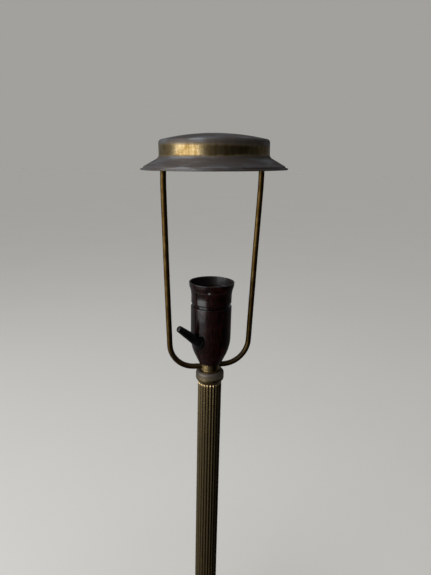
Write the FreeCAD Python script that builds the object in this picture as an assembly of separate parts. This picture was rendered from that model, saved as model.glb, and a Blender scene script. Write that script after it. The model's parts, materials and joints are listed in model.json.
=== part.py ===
"""Brass table lamp: a weighted foot, a fluted column, a switched E27 bakelite lampholder and a
wire harp that carries a spun gallery cap. Millimetres, +Z up. The origin is the middle of the
underside, and the two arms of the harp lie in the XZ plane.
"""

import os

import FreeCAD
import Part
from math import asin, cos, pi, radians, sin, sqrt, tan

V = FreeCAD.Vector
UP = V(0, 0, 1)
ORIGIN = V(0, 0, 0)

# Heights of the faces where one piece stands on the next
PLATE_Z = 2.2
WEIGHT_Z = 3.4
BASE_TOP_Z = 36.0
COLUMN_FOOT_Z = 46.0
COLUMN_TOP_Z = 401.5
COLLAR_TOP_Z = 412.3
BUSH_TOP_Z = 421.5
BODY_TOP_Z = 483.65
MANTLE_FOOT_Z = 487.15
MANTLE_TOP_Z = 508.4
BRIM_Z = 616.3
CAP_RISE = 32.6

# Gaps between pieces, on the radius
TIGHT_GAP = 0.03
SNUG_GAP = 0.05
EASY_GAP = 0.1
OVERCUT = 1.0

# Foot; an outline lists radius, height and corner radius
BASE_R = 95.0
BASE_SHEET = 1.0
FOOT_OUTLINE = [
    (BASE_R, 1.0, 0), (BASE_R, 17.5, 4.5), (66.0, 22.5, 4.0), (64.0, 29.5, 3.0),
    (24.0, BASE_TOP_Z, 12.0),
]
WEIGHT_OUTLINE = [
    (18.0, 27.0, 3.0), (29.0, 19.0, 3.0), (61.0, 19.0), (89.0, 14.5), (90.0, 12.0),
]
PLATE_R = 90.5
PLATE_SHEET = 1.2
PLATE_SCREW_PITCH_R = 70.0
PLATE_SCREW_COUNT = 3
PLATE_SCREW_AZIMUTH = 30.0
PLATE_SCREW_R = 1.5
PLATE_SCREW_LENGTH = 8.0
PLATE_SCREW_GAP = 0.08
FELT_EDGE_R = 0.6
CAVITY_R = 46.0
CAVITY_Z = 13.0
INLET_Z = 8.0
INLET_BORE_R = 3.6
INLET_BODY_R = 4.5
INLET_RECESS = 0.15
INLET_LENGTH = 3.85
INLET_FLANGE_R = 5.4
INLET_FLANGE_Y = (BASE_R - 3.8, BASE_R - 1.8)
INLET_CUT = 9.0
CHANNEL_SIZE = (14.0, 60.0, 24.0)
CHANNEL_Y = CAVITY_R + 25.0

# Threaded tube that clamps the stack together, M10 x 1
ROD_R = 4.9
ROD_BORE_R = 3.6
ROD_FOOT_Z = 6.6
ROD_TOP_Z = 431.0
ROD_CLEARANCE = 0.15
NUT_ACROSS_FLATS = 14.0
NUT_HEIGHT = 4.0
WASHER_R = 10.0
WASHER_SHEET = 1.4

# Column; the outlines' heights count from the foot's top and from the column's top
COLUMN_R = 12.45
COLUMN_BORE_R = 9.5
SPIGOT_R = 9.35
SPIGOT_LENGTH = 6.0
SPIGOT_EDGE_R = 0.6
FLUTE_COUNT = 24
FLUTE_ANGLE = 11.0
FLUTE_DEPTH = 0.8
FOOT_RING_OUTLINE = [
    (20.0, 0), (20.0, 3.6, 1.7), (15.8, 4.2, 1.2), (14.6, 8.4, 1.2), (12.6, 10.0),
]
COLLAR_OUTLINE = [
    (12.6, 0), (12.9, 0.9, 0.8), (14.6, 3.2, 1.4), (14.6, 12.2, 3.0), (11.4, 12.2, 1.0),
    (10.2, 10.8, 0.5),
]

# Harp
BUSH_R = 9.9
BUSH_EDGE_R = 0.4
WIRE_R = 2.8
HARP_ROOT_X = 6.2
HARP_ROOT_Z = BRIM_Z - 198.2
HARP_CORNER_X = 40.7
HARP_CORNER_Z = BRIM_Z - 196.9
HARP_TOP_X = 47.55
HARP_BEND_Z = BRIM_Z - 13.3
HARP_END_Z = BRIM_Z + 20.0
HARP_SHIFT_X = -0.4
HARP_CORNER_R = 26.5
HARP_BEND_R = 200.0

# Gallery cap; its heights count from the foot of the lip
CAP_LIP_R = 68.5
CAP_LIP_INNER_R = 65.3
CAP_LIP_HEIGHT = 1.6
CAP_LIP_EDGE_R = 0.7
CAP_LIP_INNER_EDGE_R = 0.3
CAP_LIP_LAP = 0.2
CAP_LEDGE_R = 66.2
CAP_LEDGE_RISE = 2.9
CAP_LEDGE_BEND_R = 2.0
CAP_WALL_R = 51.4
CAP_WALL_FOOT = 11.1
CAP_WALL_BEND_R = 4.6
CAP_SHEET = 0.8
CAP_DOME_R = 215.0
CAP_SHOULDER_R = 3.0
CAP_TILT = 1.3
SOLDER_HEIGHT = 9.0
SOLDER_WIDTH = 9.0
SOLDER_DEPTH = 2.2
SOLDER_RISE = 16.0
SOLDER_EDGE_R = 1.2
SOLDER_GAP = 0.02

# Lampholder
CAVITY_WALL_R = 16.2
CAVITY_WALL_Z = 441.5
CAVITY_BEND_R = 13.7
CAVITY_BEND_Z = 433.4
CAVITY_FOOT_R = 10.4
NECK_R = 17.8
NECK_BORE_R = 16.9
NECK_TOP_Z = 496.0
THREAD_EDGE_R = 0.3
BODY_FLOOR_Z = 426.2
BODY_R = 20.6
BODY_OUTLINE = [(11.25, BUSH_TOP_Z, 1.6), (20.4, 440.8, 46.0), (BODY_R, BODY_TOP_Z, 0.7)]
MANTLE_BORE_R = 18.55
MANTLE_OUTLINE = [
    (20.3, MANTLE_FOOT_Z, 0.6), (20.25, NECK_TOP_Z, 30.0), (21.2, 501.0, 8.0), (22.4, 504.6, 8.0),
    (22.75, MANTLE_TOP_Z, 0.5), (21.4, MANTLE_TOP_Z, 0.5), (19.6, 499.8, 1.5), (14.7, 499.8, 0.6),
    (14.7, 496.6, 0.3),
]
SEAT_Z = 455.0
BLOCK_FLANGE_TOP_Z = 459.0
BLOCK_R = 15.2
BLOCK_TOP_Z = 467.0
BLOCK_EDGE_R = 0.8
POCKET_DEPTH = 3.0
SHELL_TOP_Z = 499.2
SHELL_STEP_Z = 473.0
SHELL_STEP = 1.0
SHELL_R = 14.0
SHELL_SHEET = 0.6
SHELL_EDGE_R = 0.5
CLAMP_BORE_R = 6.0
CLAMP_R = 11.5
CLAMP_LAP = 0.7
CLAMP_HEIGHT = 1.2
CLAMP_EDGE_R = 0.2
RIVET_PITCH_R = 9.0
RIVET_TURNS = (-87.0, 93.0)
RIVET_R = 1.05
RIVET_LENGTH = 4.5
RIVET_HEAD_R = 1.9
RIVET_HEAD = 0.7
RIVET_RECESS_R = 2.4
RIVET_RECESS_DEPTH = 3.0
SPRING_R = 2.6
SPRING_WIRE_R = 0.25
SPRING_TURNS = 3
ARCS_PER_TURN = 8
SLEEVE_R = 7.4
SLEEVE_FLANGE_R = 9.6
SLEEVE_FLANGE = 1.5
SLEEVE_TOP_Z = 433.0
SLEEVE_TOP_BORE_R = 4.0
SLEEVE_EDGE_R = 0.3
STEM_R = 1.5
STEM_FOOT_Z = SEAT_Z + 1.7
STEM_HEAD_R = 2.4
STEM_HEAD = 0.6
CONTACT_R = 4.0
CONTACT_Z = 470.0
CONTACT_HEIGHT = 1.3
CONTACT_EDGE_R = 0.6
LOCK_SCREW_AZIMUTH = 248.6
LOCK_SCREW_Z = 501.3
LOCK_SCREW_R = 1.25
LOCK_SCREW_SPAN = (19.4, 20.6)
LOCK_SCREW_HOLE = 1.0
LOCK_SCREW_GAP = 0.12
LOCK_SLOT_SIZE = (1.0, 0.5, 3.5)

# Switch lever: a ball in the wall of the holder, with a tapered stick
LEVER_AZIMUTH = 217.0
LEVER_PIVOT_R = 15.0
LEVER_PIVOT_Z = 446.0
LEVER_RISE = 42.5
LEVER_SWING = 20.0
LEVER_LENGTH = 32.0
LEVER_ROOT_R = 5.6
LEVER_TIP_R = 3.2
LEVER_TIP_CURVE = 1.7
BALL_R = 6.3
BALL_GAP = 0.3
STICK_GAP = 0.45
TAIL_R = 1.45
TAIL_ROOT = 4.0
TAIL_LENGTH = 11.4
BRIDGE_R = 2.0
BRIDGE_HALF = 1.3
CUP_R = 6.6
CUP_NEAR = 3.6
CUP_FAR = 7.9
CUP_WINDOW_SIZE = (10.8, 4.0, 16.8)
CUP_SIDE_SIZE = (4.0, 26.4, 26.4)
CUP_SIDE_X = 7.8
TONGUE_SIZE = (1.0, 5.0)
TONGUE_INSET = (0.6, 0.9)
STRIP_SIZE = (1.6, 0.5)
STRIP_PITCH = 2.2
STRIP_GAP = 0.95
STRIP_OVERLAP = 2.0

# Wiring
TERMINAL_AZIMUTHS = (97.0, 337.0)
TERMINAL_PITCH_R = 10.5
TERMINAL_PLATE = (6.0, 6.0, 1.6)
TERMINAL_SCREW_R = 1.3
TERMINAL_SCREW_LENGTH = 6.0
TERMINAL_HEAD_R = 2.4
LEAD_R = 1.1
LEAD_X = 1.4
LEAD_LOW_Z = 5.0
LEAD_SPLIT_Z = 438.0
LEAD_TURN_Z = 445.5
LEAD_END_Z = 451.75
BLOCK_SIZE = (22.0, 14.0, 7.5)
BLOCK_Y = 28.0
POLE_X = 5.0
POLE_Z = 9.2
BARREL_R = 2.1
BARREL_BORE_R = 1.3
BARREL_RECESS = 0.5
GRUB_R = 1.0
GRUB_OFFSET = 3.5
GRUB_RECESS = 0.2


def polar(r, azimuth, z=0.0):
    return V(r * cos(radians(azimuth)), r * sin(radians(azimuth)), z)


def corner_arc(before, at, after, radius):
    """The tangent arc that rounds the corner at a point, as (start, middle, end)."""
    a = (before - at).normalize()
    b = (after - at).normalize()
    half = a.getAngle(b) / 2
    reach = radius / tan(half)
    centre = at + (a + b).normalize() * (radius / sin(half))
    middle = centre + (at - centre).normalize() * radius
    return at + a * reach, middle, at + b * reach


def rounded_edges(corners, closed):
    """Edges through corners (point, radius); a radius of 0 keeps its corner sharp."""
    count = len(corners)
    bends = []
    for i, (at, radius) in enumerate(corners):
        inner = closed or 0 < i < count - 1
        if radius and inner:
            before = corners[i - 1][0]
            after = corners[(i + 1) % count][0]
            bends.append(corner_arc(before, at, after, radius))
        else:
            bends.append((at, None, at))
    edges = []
    for i, (start, middle, end) in enumerate(bends):
        if middle:
            edges.append(Part.Arc(start, middle, end).toShape())
        if closed or i < count - 1:
            following = bends[(i + 1) % count][0]
            if end.distanceToPoint(following) > 1e-6:
                edges.append(Part.LineSegment(end, following).toShape())
    return edges


def section(points):
    """A closed face in the XZ plane from (r, z) or (r, z, corner radius)."""
    corners = [(V(p[0], 0, p[1]), p[2] if len(p) > 2 else 0) for p in points]
    return Part.Face(Part.Wire(rounded_edges(corners, True)))


def turned(points):
    """A solid of revolution about the lamp's axis."""
    return section(points).revolve(ORIGIN, UP, 360)


def raised(outline, height):
    return [(r, z + height, *bend) for r, z, *bend in outline]


def spun_sheet(edges, thickness):
    """A sheet of one thickness below or inside an open outline, revolved about the axis."""
    wire = Part.Wire(edges)
    face = wire.makeOffset2D(-thickness, 0, True, True, False)
    if face.BoundBox.ZMax > wire.BoundBox.ZMax + thickness / 2:
        face = wire.makeOffset2D(thickness, 0, True, True, False)
    return face.revolve(ORIGIN, UP, 360)


def rod(r, start, end):
    return Part.makeCylinder(r, (end - start).Length, start, end - start)


def ring(r, bore, z0, z1):
    hole = rod(bore, V(0, 0, z0 - OVERCUT), V(0, 0, z1 + OVERCUT))
    return rod(r, V(0, 0, z0), V(0, 0, z1)).cut(hole)


def box_at(size, middle):
    corner = V(middle.x - size[0] / 2, middle.y - size[1] / 2, middle.z - size[2] / 2)
    return Part.makeBox(size[0], size[1], size[2], corner)


def hexagon(across_flats, z, height):
    reach = across_flats / 2 / cos(pi / 6)
    points = [polar(reach, 60 * i, z) for i in range(7)]
    return Part.Face(Part.makePolygon(points)).extrude(V(0, 0, height))


# Foot

def base_shell():
    corners = [(V(r, 0, z), bend) for r, z, bend in FOOT_OUTLINE]
    corners.append((V(ROD_R + ROD_CLEARANCE, 0, BASE_TOP_Z), 0))
    shell = spun_sheet(rounded_edges(corners, False), BASE_SHEET)
    return shell.cut(inlet_bar(INLET_BODY_R + EASY_GAP))


def inlet_bar(r):
    return rod(r, V(0, BASE_R - INLET_CUT, INLET_Z), V(0, BASE_R + INLET_CUT, INLET_Z))


def base_weight():
    top = BASE_TOP_Z - BASE_SHEET
    bore = ROD_R + ROD_CLEARANCE
    weight = turned([
        (bore, top), (WEIGHT_OUTLINE[0][0], top), *WEIGHT_OUTLINE, (WEIGHT_OUTLINE[-1][0], WEIGHT_Z),
        (CAVITY_R, WEIGHT_Z), (CAVITY_R, CAVITY_Z), (bore, CAVITY_Z),
    ])
    channel = box_at(CHANNEL_SIZE, V(0, CHANNEL_Y, WEIGHT_Z))
    below = V(0, 0, -OVERCUT)
    above = V(0, 0, PLATE_SCREW_LENGTH + OVERCUT)
    points = plate_screw_points(WEIGHT_Z)
    holes = [rod(PLATE_SCREW_R + EASY_GAP, p + below, p + above) for p in points]
    return weight.cut([channel] + holes)


def plate_screw_points(z):
    step = 360 / PLATE_SCREW_COUNT
    azimuths = [PLATE_SCREW_AZIMUTH + step * i for i in range(PLATE_SCREW_COUNT)]
    return [polar(PLATE_SCREW_PITCH_R, azimuth, z) for azimuth in azimuths]


def plate_screw(at, extra):
    """A countersunk screw with its flat head down, grown all round by extra."""
    head = Part.makeCone(2 * PLATE_SCREW_R + extra, PLATE_SCREW_R + extra, PLATE_SHEET, at, UP)
    return head.fuse(rod(PLATE_SCREW_R + extra, at, at + V(0, 0, PLATE_SCREW_LENGTH)))


def base_plate():
    plate = rod(PLATE_R, V(0, 0, PLATE_Z), V(0, 0, PLATE_Z + PLATE_SHEET))
    return plate.cut([plate_screw(p, PLATE_SCREW_GAP) for p in plate_screw_points(PLATE_Z)])


def plate_screws():
    return Part.makeCompound([plate_screw(p, 0) for p in plate_screw_points(PLATE_Z)])


def base_felt():
    return turned([(0, 0), (PLATE_R, 0, FELT_EDGE_R), (PLATE_R, PLATE_Z), (0, PLATE_Z)])


def cord_inlet_bush():
    face = BASE_R - INLET_RECESS
    body = rod(INLET_BODY_R, V(0, face - INLET_LENGTH, INLET_Z), V(0, face, INLET_Z))
    flange = rod(INLET_FLANGE_R, *[V(0, y, INLET_Z) for y in INLET_FLANGE_Y])
    return body.fuse(flange).cut(inlet_bar(INLET_BORE_R)).removeSplitter()


def base_washer():
    return ring(WASHER_R, ROD_R + EASY_GAP, CAVITY_Z - WASHER_SHEET, CAVITY_Z)


def base_nut():
    top = CAVITY_Z - WASHER_SHEET
    nut = hexagon(NUT_ACROSS_FLATS, top - NUT_HEIGHT, NUT_HEIGHT)
    return nut.cut(rod(ROD_R + SNUG_GAP, ORIGIN, V(0, 0, top + OVERCUT)))


def tie_rod():
    return ring(ROD_R, ROD_BORE_R, ROD_FOOT_Z, ROD_TOP_Z)


# Mains terminal block under the foot

def terminal_block():
    block = box_at(BLOCK_SIZE, V(0, BLOCK_Y, CAVITY_Z - BLOCK_SIZE[2] / 2))
    depth = BLOCK_SIZE[1] / 2 + OVERCUT
    cuts = []
    for side in (-1, 1):
        middle = V(side * POLE_X, BLOCK_Y, POLE_Z)
        cuts.append(rod(BARREL_R + SNUG_GAP, middle - V(0, depth, 0), middle + V(0, depth, 0)))
        cuts += [rod(GRUB_R + SNUG_GAP + EASY_GAP, V(p.x, p.y, 0), p) for p in grub_points(side)]
    return block.cut(cuts)


def grub_points(side):
    return [V(side * POLE_X, BLOCK_Y + end * GRUB_OFFSET, POLE_Z) for end in (-1, 1)]


def terminal_barrels():
    half = BLOCK_SIZE[1] / 2 - BARREL_RECESS
    barrels = []
    for side in (-1, 1):
        middle = V(side * POLE_X, BLOCK_Y, POLE_Z)
        barrel = rod(BARREL_R, middle - V(0, half, 0), middle + V(0, half, 0))
        reach = V(0, half + OVERCUT, 0)
        bore = rod(BARREL_BORE_R, middle - reach, middle + reach)
        holes = [rod(GRUB_R + SNUG_GAP, V(p.x, p.y, 0), p) for p in grub_points(side)]
        barrels.append(barrel.cut([bore] + holes))
    return Part.makeCompound(barrels)


def terminal_grub_screws():
    foot = CAVITY_Z - BLOCK_SIZE[2] + GRUB_RECESS
    tip = POLE_Z - LEAD_R - EASY_GAP
    screws = []
    for side in (-1, 1):
        screws += [rod(GRUB_R, V(p.x, p.y, foot), V(p.x, p.y, tip)) for p in grub_points(side)]
    return Part.makeCompound(screws)


# Column

def column_foot_ring():
    bore = ROD_R + ROD_CLEARANCE
    top = COLUMN_FOOT_Z + SPIGOT_LENGTH
    return turned([
        (bore, BASE_TOP_Z), *raised(FOOT_RING_OUTLINE, BASE_TOP_Z), (SPIGOT_R, COLUMN_FOOT_Z),
        (SPIGOT_R, top, SPIGOT_EDGE_R), (bore, top),
    ])


def fluted_outline():
    """The column's outer wire at height 0: equal hollow flutes with narrow lands between."""
    edges = []
    pitch = 360 / FLUTE_COUNT
    for i in range(FLUTE_COUNT):
        start = i * pitch - FLUTE_ANGLE / 2
        end = i * pitch + FLUTE_ANGLE / 2
        land_end = start + pitch
        hollow = polar(COLUMN_R - FLUTE_DEPTH, i * pitch)
        edges.append(Part.Arc(polar(COLUMN_R, start), hollow, polar(COLUMN_R, end)).toShape())
        crest = polar(COLUMN_R, (end + land_end) / 2)
        edges.append(Part.Arc(polar(COLUMN_R, end), crest, polar(COLUMN_R, land_end)).toShape())
    return Part.Wire(edges)


def column_tube():
    bar = Part.Face(fluted_outline()).extrude(V(0, 0, COLUMN_TOP_Z - COLUMN_FOOT_Z))
    bar = bar.translated(V(0, 0, COLUMN_FOOT_Z))
    ends = [V(0, 0, COLUMN_FOOT_Z - OVERCUT), V(0, 0, COLUMN_TOP_Z + OVERCUT)]
    return bar.cut(rod(COLUMN_BORE_R, *ends))


def collar():
    bore = ROD_R + ROD_CLEARANCE
    foot = COLUMN_TOP_Z - SPIGOT_LENGTH
    return turned([
        (bore, foot), (SPIGOT_R, foot, SPIGOT_EDGE_R), (SPIGOT_R, COLUMN_TOP_Z),
        *raised(COLLAR_OUTLINE, COLUMN_TOP_Z), (bore, COLLAR_TOP_Z),
    ])


# Harp and cap

def harp_points(side):
    """The corners of one arm's centre line; both arms stand a little towards -X."""
    corner_x = side * HARP_CORNER_X + HARP_SHIFT_X
    top_x = side * HARP_TOP_X + HARP_SHIFT_X
    return [
        V(side * HARP_ROOT_X, 0, HARP_ROOT_Z), V(corner_x, 0, HARP_CORNER_Z),
        V(top_x, 0, HARP_BEND_Z), V(top_x, 0, HARP_END_Z),
    ]


def harp_arm(side):
    points = harp_points(side)
    corners = list(zip(points, (0, HARP_CORNER_R, HARP_BEND_R, 0)))
    start = Part.Wire(Part.makeCircle(WIRE_R, points[0], points[1] - points[0]))
    return Part.Wire(rounded_edges(corners, False)).makePipeShell([start], True, False)


def harp_bush():
    bore = ROD_R + ROD_CLEARANCE
    bush = turned([
        (bore, COLLAR_TOP_Z), (BUSH_R, COLLAR_TOP_Z, BUSH_EDGE_R), (BUSH_R, BUSH_TOP_Z, BUSH_EDGE_R),
        (bore, BUSH_TOP_Z),
    ])
    sockets = [rod(WIRE_R + TIGHT_GAP, *harp_points(side)[:2]) for side in (-1, 1)]
    return bush.cut(sockets)


def tilted(shape):
    """The cap leans in the plane of the arms, with its +X side up."""
    return shape.rotated(V(0, 0, BRIM_Z), V(0, 1, 0), -CAP_TILT)


def cap_dome_edges():
    """The cap's outer line from the lip's ledge to the top of the dome."""
    wall = CAP_WALL_R
    centre_x = wall - CAP_SHOULDER_R
    dome_z = BRIM_Z + CAP_RISE - CAP_DOME_R
    centre_z = dome_z + sqrt((CAP_DOME_R - CAP_SHOULDER_R) ** 2 - centre_x ** 2)
    tilt = asin(centre_x / (CAP_DOME_R - CAP_SHOULDER_R))
    corners = [
        (V(CAP_LEDGE_R, 0, BRIM_Z + CAP_LIP_HEIGHT), 0),
        (V(CAP_LEDGE_R, 0, BRIM_Z + CAP_LEDGE_RISE), CAP_LEDGE_BEND_R),
        (V(wall, 0, BRIM_Z + CAP_WALL_FOOT), CAP_WALL_BEND_R), (V(wall, 0, centre_z), 0),
    ]
    centre = V(centre_x, 0, centre_z)
    half = (pi / 2 - tilt) / 2
    middle = centre + V(cos(half), 0, sin(half)) * CAP_SHOULDER_R
    edge = centre + V(sin(tilt), 0, cos(tilt)) * CAP_SHOULDER_R
    dome_middle = V(CAP_DOME_R * sin(tilt / 2), 0, dome_z + CAP_DOME_R * cos(tilt / 2))
    shoulder = Part.Arc(V(wall, 0, centre_z), middle, edge).toShape()
    dome = Part.Arc(edge, dome_middle, V(0, 0, BRIM_Z + CAP_RISE)).toShape()
    return rounded_edges(corners, False) + [shoulder, dome]


def gallery_cap():
    sheet = spun_sheet(cap_dome_edges(), CAP_SHEET)
    top = BRIM_Z + CAP_LIP_HEIGHT
    lip = turned([
        (CAP_LIP_INNER_R, BRIM_Z, CAP_LIP_INNER_EDGE_R), (CAP_LIP_R, BRIM_Z, CAP_LIP_EDGE_R),
        (CAP_LIP_R, top, CAP_LIP_EDGE_R), (CAP_LIP_INNER_R, top + CAP_LIP_LAP, CAP_LIP_LAP),
    ])
    return tilted(sheet.fuse(lip).removeSplitter())


def cap_solder_joints(arms):
    """Fillets of solder between each arm's end and the inside of the cap's wall."""
    joints = []
    inside_r = CAP_WALL_R - CAP_SHEET - SOLDER_GAP
    inside = tilted(rod(inside_r, V(0, 0, BRIM_Z), V(0, 0, BRIM_Z + SOLDER_RISE + SOLDER_HEIGHT)))
    for side, arm in zip((-1, 1), arms):
        middle = V(side * (CAP_WALL_R - SOLDER_DEPTH), 0, BRIM_Z + SOLDER_RISE)
        blob = box_at((2 * SOLDER_DEPTH, SOLDER_WIDTH, SOLDER_HEIGHT), middle)
        blob = blob.makeFillet(SOLDER_EDGE_R, [e for e in blob.Edges if is_inner_edge(e)])
        joints.append(blob.common(inside).cut([arm]))
    return Part.makeCompound([s for j in joints for s in j.Solids])


def is_inner_edge(edge):
    return all(abs(v.X) < CAP_WALL_R - SOLDER_DEPTH for v in edge.Vertexes)


# Lampholder

def lever_frame():
    """The pivot point, the seat's outward normal, the swing axis and the stick's rest direction."""
    outwards = polar(1, LEVER_AZIMUTH)
    rise = radians(LEVER_RISE)
    normal = outwards * cos(rise) + UP * sin(rise)
    axis = UP * cos(rise) - outwards * sin(rise)
    pivot = polar(LEVER_PIVOT_R, LEVER_AZIMUTH, LEVER_PIVOT_Z)
    along = FreeCAD.Rotation(axis, -LEVER_SWING).multVec(normal)
    return pivot, normal, axis, along


def stick(pivot, along, extra):
    """The tapered stick from the pivot, grown all round by extra."""
    root = LEVER_ROOT_R + extra
    tip = LEVER_TIP_R + extra
    return Part.makeCone(root, tip, LEVER_LENGTH + extra, pivot, along)


def cavity_line(gap):
    """The wall of the holder's lower cavity, from its floor up to the core's seat."""
    return [
        (CAVITY_FOOT_R - gap, BODY_FLOOR_Z), (CAVITY_BEND_R - gap, CAVITY_BEND_Z),
        (CAVITY_WALL_R - gap, CAVITY_WALL_Z), (CAVITY_WALL_R - gap, SEAT_Z),
    ]


def swept_stick(pivot, axis, along, extra):
    """The space that the stick needs over its whole swing."""
    end = FreeCAD.Rotation(axis, 2 * LEVER_SWING).multVec(along)
    tip = pivot + along * (LEVER_LENGTH + extra)
    root = LEVER_ROOT_R + extra
    narrow = LEVER_TIP_R + extra
    corners = [pivot - axis * root, pivot + axis * root, tip + axis * narrow, tip - axis * narrow]
    blade = Part.Face(Part.makePolygon(corners + corners[:1]))
    middle = blade.revolve(pivot, axis, 2 * LEVER_SWING)
    return [stick(pivot, along, extra), stick(pivot, end, extra), middle]


def holder_body():
    bore = SLEEVE_R + EASY_GAP
    outside = turned([
        (bore, BUSH_TOP_Z), *BODY_OUTLINE, (NECK_R, BODY_TOP_Z), (NECK_R, NECK_TOP_Z, THREAD_EDGE_R),
        (NECK_BORE_R, NECK_TOP_Z), (NECK_BORE_R, SEAT_Z), *reversed(cavity_line(0)),
        (bore, BODY_FLOOR_Z),
    ])
    pivot, _, axis, along = lever_frame()
    body = outside.cut(Part.makeSphere(BALL_R + BALL_GAP, pivot))
    for cutter in swept_stick(pivot, axis, along, STICK_GAP):
        body = body.cut(cutter)
    return body


def holder_thread_bush():
    bore = ROD_R + SNUG_GAP
    foot = BUSH_TOP_Z + SLEEVE_EDGE_R
    floor = BODY_FLOOR_Z
    shelf = floor + SLEEVE_FLANGE
    stop = ROD_TOP_Z + EASY_GAP
    return turned([
        (bore, foot), (SLEEVE_R, foot), (SLEEVE_R, floor), (SLEEVE_FLANGE_R, floor),
        (SLEEVE_FLANGE_R, shelf, SLEEVE_EDGE_R), (SLEEVE_R, shelf),
        (SLEEVE_R, SLEEVE_TOP_Z, SLEEVE_EDGE_R), (SLEEVE_TOP_BORE_R, SLEEVE_TOP_Z),
        (SLEEVE_TOP_BORE_R, stop), (bore, stop),
    ])


def holder_mantle():
    shelf_z = MANTLE_OUTLINE[-1][1]
    mantle = turned([
        (MANTLE_BORE_R, MANTLE_FOOT_Z, THREAD_EDGE_R), *MANTLE_OUTLINE, (MANTLE_BORE_R, shelf_z),
    ])
    return mantle.cut(lock_screw_solid(LOCK_SCREW_GAP, LOCK_SCREW_HOLE))


def lock_screw_solid(extra, reach):
    """The screw, grown all round by extra and outwards by reach."""
    start = polar(LOCK_SCREW_SPAN[0] - 4 * extra, LOCK_SCREW_AZIMUTH, LOCK_SCREW_Z)
    end = polar(LOCK_SCREW_SPAN[1] + reach, LOCK_SCREW_AZIMUTH, LOCK_SCREW_Z)
    return rod(LOCK_SCREW_R + extra, start, end)


def mantle_lock_screw():
    screw = lock_screw_solid(0, 0)
    tip = polar(LOCK_SCREW_SPAN[1], LOCK_SCREW_AZIMUTH, LOCK_SCREW_Z)
    slot = box_at(LOCK_SLOT_SIZE, ORIGIN)
    turn = FreeCAD.Placement(tip, FreeCAD.Rotation(UP, LOCK_SCREW_AZIMUTH))
    return screw.cut(slot.transformGeometry(turn.toMatrix()))


def terminal_points(z):
    return [polar(TERMINAL_PITCH_R, azimuth, z) for azimuth in TERMINAL_AZIMUTHS]


def contact_block():
    """The porcelain core: it carries the screw shell, the centre contact and the terminals."""
    flange_r = NECK_BORE_R - ROD_CLEARANCE
    block = turned([
        (0, SEAT_Z), (flange_r, SEAT_Z), (flange_r, BLOCK_FLANGE_TOP_Z, BLOCK_EDGE_R),
        (BLOCK_R, BLOCK_FLANGE_TOP_Z), (BLOCK_R, BLOCK_TOP_Z, BLOCK_EDGE_R), (0, BLOCK_TOP_Z),
    ])
    below = SEAT_Z - OVERCUT
    stem = rod(STEM_R + SNUG_GAP, V(0, 0, below), V(0, 0, BLOCK_TOP_Z + OVERCUT))
    pocket = rod(CONTACT_R, V(0, 0, below), V(0, 0, SEAT_Z + POCKET_DEPTH))
    deep = V(0, 0, TERMINAL_SCREW_LENGTH + OVERCUT)
    points = terminal_points(below)
    screws = [rod(TERMINAL_SCREW_R + SNUG_GAP, p, p + deep + V(0, 0, OVERCUT)) for p in points]
    rivets = [rivet_hole(p) for p in rivet_points()]
    recess = [
        rod(RIVET_RECESS_R, V(p.x, p.y, below), p - V(0, 0, RIVET_RECESS_DEPTH))
        for p in rivet_points()
    ]
    return block.cut([stem, pocket] + screws + rivets + recess)


def rivet_points():
    return [polar(RIVET_PITCH_R, LEVER_AZIMUTH + turn, BLOCK_TOP_Z) for turn in RIVET_TURNS]


def rivet_hole(at):
    reach = V(0, 0, RIVET_LENGTH + OVERCUT)
    return rod(RIVET_R + SNUG_GAP, at - reach, at + reach)


def e27_shell():
    """The screw shell, with a narrow flange at its foot that the clamp ring holds down."""
    floor = BLOCK_TOP_Z
    foot_r = SHELL_R - SHELL_STEP
    low = SHELL_STEP_Z - SHELL_STEP
    flange_r = CLAMP_R + EASY_GAP
    outer = [
        (flange_r, floor), (foot_r, floor, SHELL_EDGE_R), (foot_r, low), (SHELL_R, SHELL_STEP_Z),
        (SHELL_R, SHELL_TOP_Z),
    ]
    inner = [
        (SHELL_R - SHELL_SHEET, SHELL_TOP_Z), (SHELL_R - SHELL_SHEET, SHELL_STEP_Z),
        (foot_r - SHELL_SHEET, low), (foot_r - SHELL_SHEET, floor + SHELL_SHEET),
        (flange_r, floor + SHELL_SHEET),
    ]
    return turned(outer + inner)


def shell_clamp_ring():
    """A stepped brass ring, riveted to the core over the flange of the screw shell."""
    step = BLOCK_TOP_Z + SHELL_SHEET
    top = BLOCK_TOP_Z + CLAMP_HEIGHT
    rim_r = CLAMP_R + CLAMP_LAP
    plate = turned([
        (CLAMP_BORE_R, BLOCK_TOP_Z), (CLAMP_R, BLOCK_TOP_Z), (CLAMP_R, step), (rim_r, step),
        (rim_r, top, CLAMP_EDGE_R), (CLAMP_BORE_R, top, CLAMP_EDGE_R),
    ])
    return plate.cut([rivet_hole(p) for p in rivet_points()])


def shell_rivets():
    rivets = []
    for p in rivet_points():
        under_head = V(p.x, p.y, BLOCK_TOP_Z + CLAMP_HEIGHT)
        shank = rod(RIVET_R, p - V(0, 0, RIVET_LENGTH), under_head + V(0, 0, RIVET_HEAD / 2))
        head = rod(RIVET_HEAD_R, under_head, under_head + V(0, 0, RIVET_HEAD))
        rivets.append(shank.fuse(head).removeSplitter())
    return Part.makeCompound(rivets)


def centre_contact():
    collar_z = STEM_FOOT_Z + STEM_HEAD
    top = CONTACT_Z + CONTACT_HEIGHT
    return turned([
        (0, STEM_FOOT_Z), (STEM_HEAD_R, STEM_FOOT_Z), (STEM_HEAD_R, collar_z), (STEM_R, collar_z),
        (STEM_R, CONTACT_Z), (CONTACT_R, CONTACT_Z), (CONTACT_R, top, CONTACT_EDGE_R), (0, top),
    ])


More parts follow.
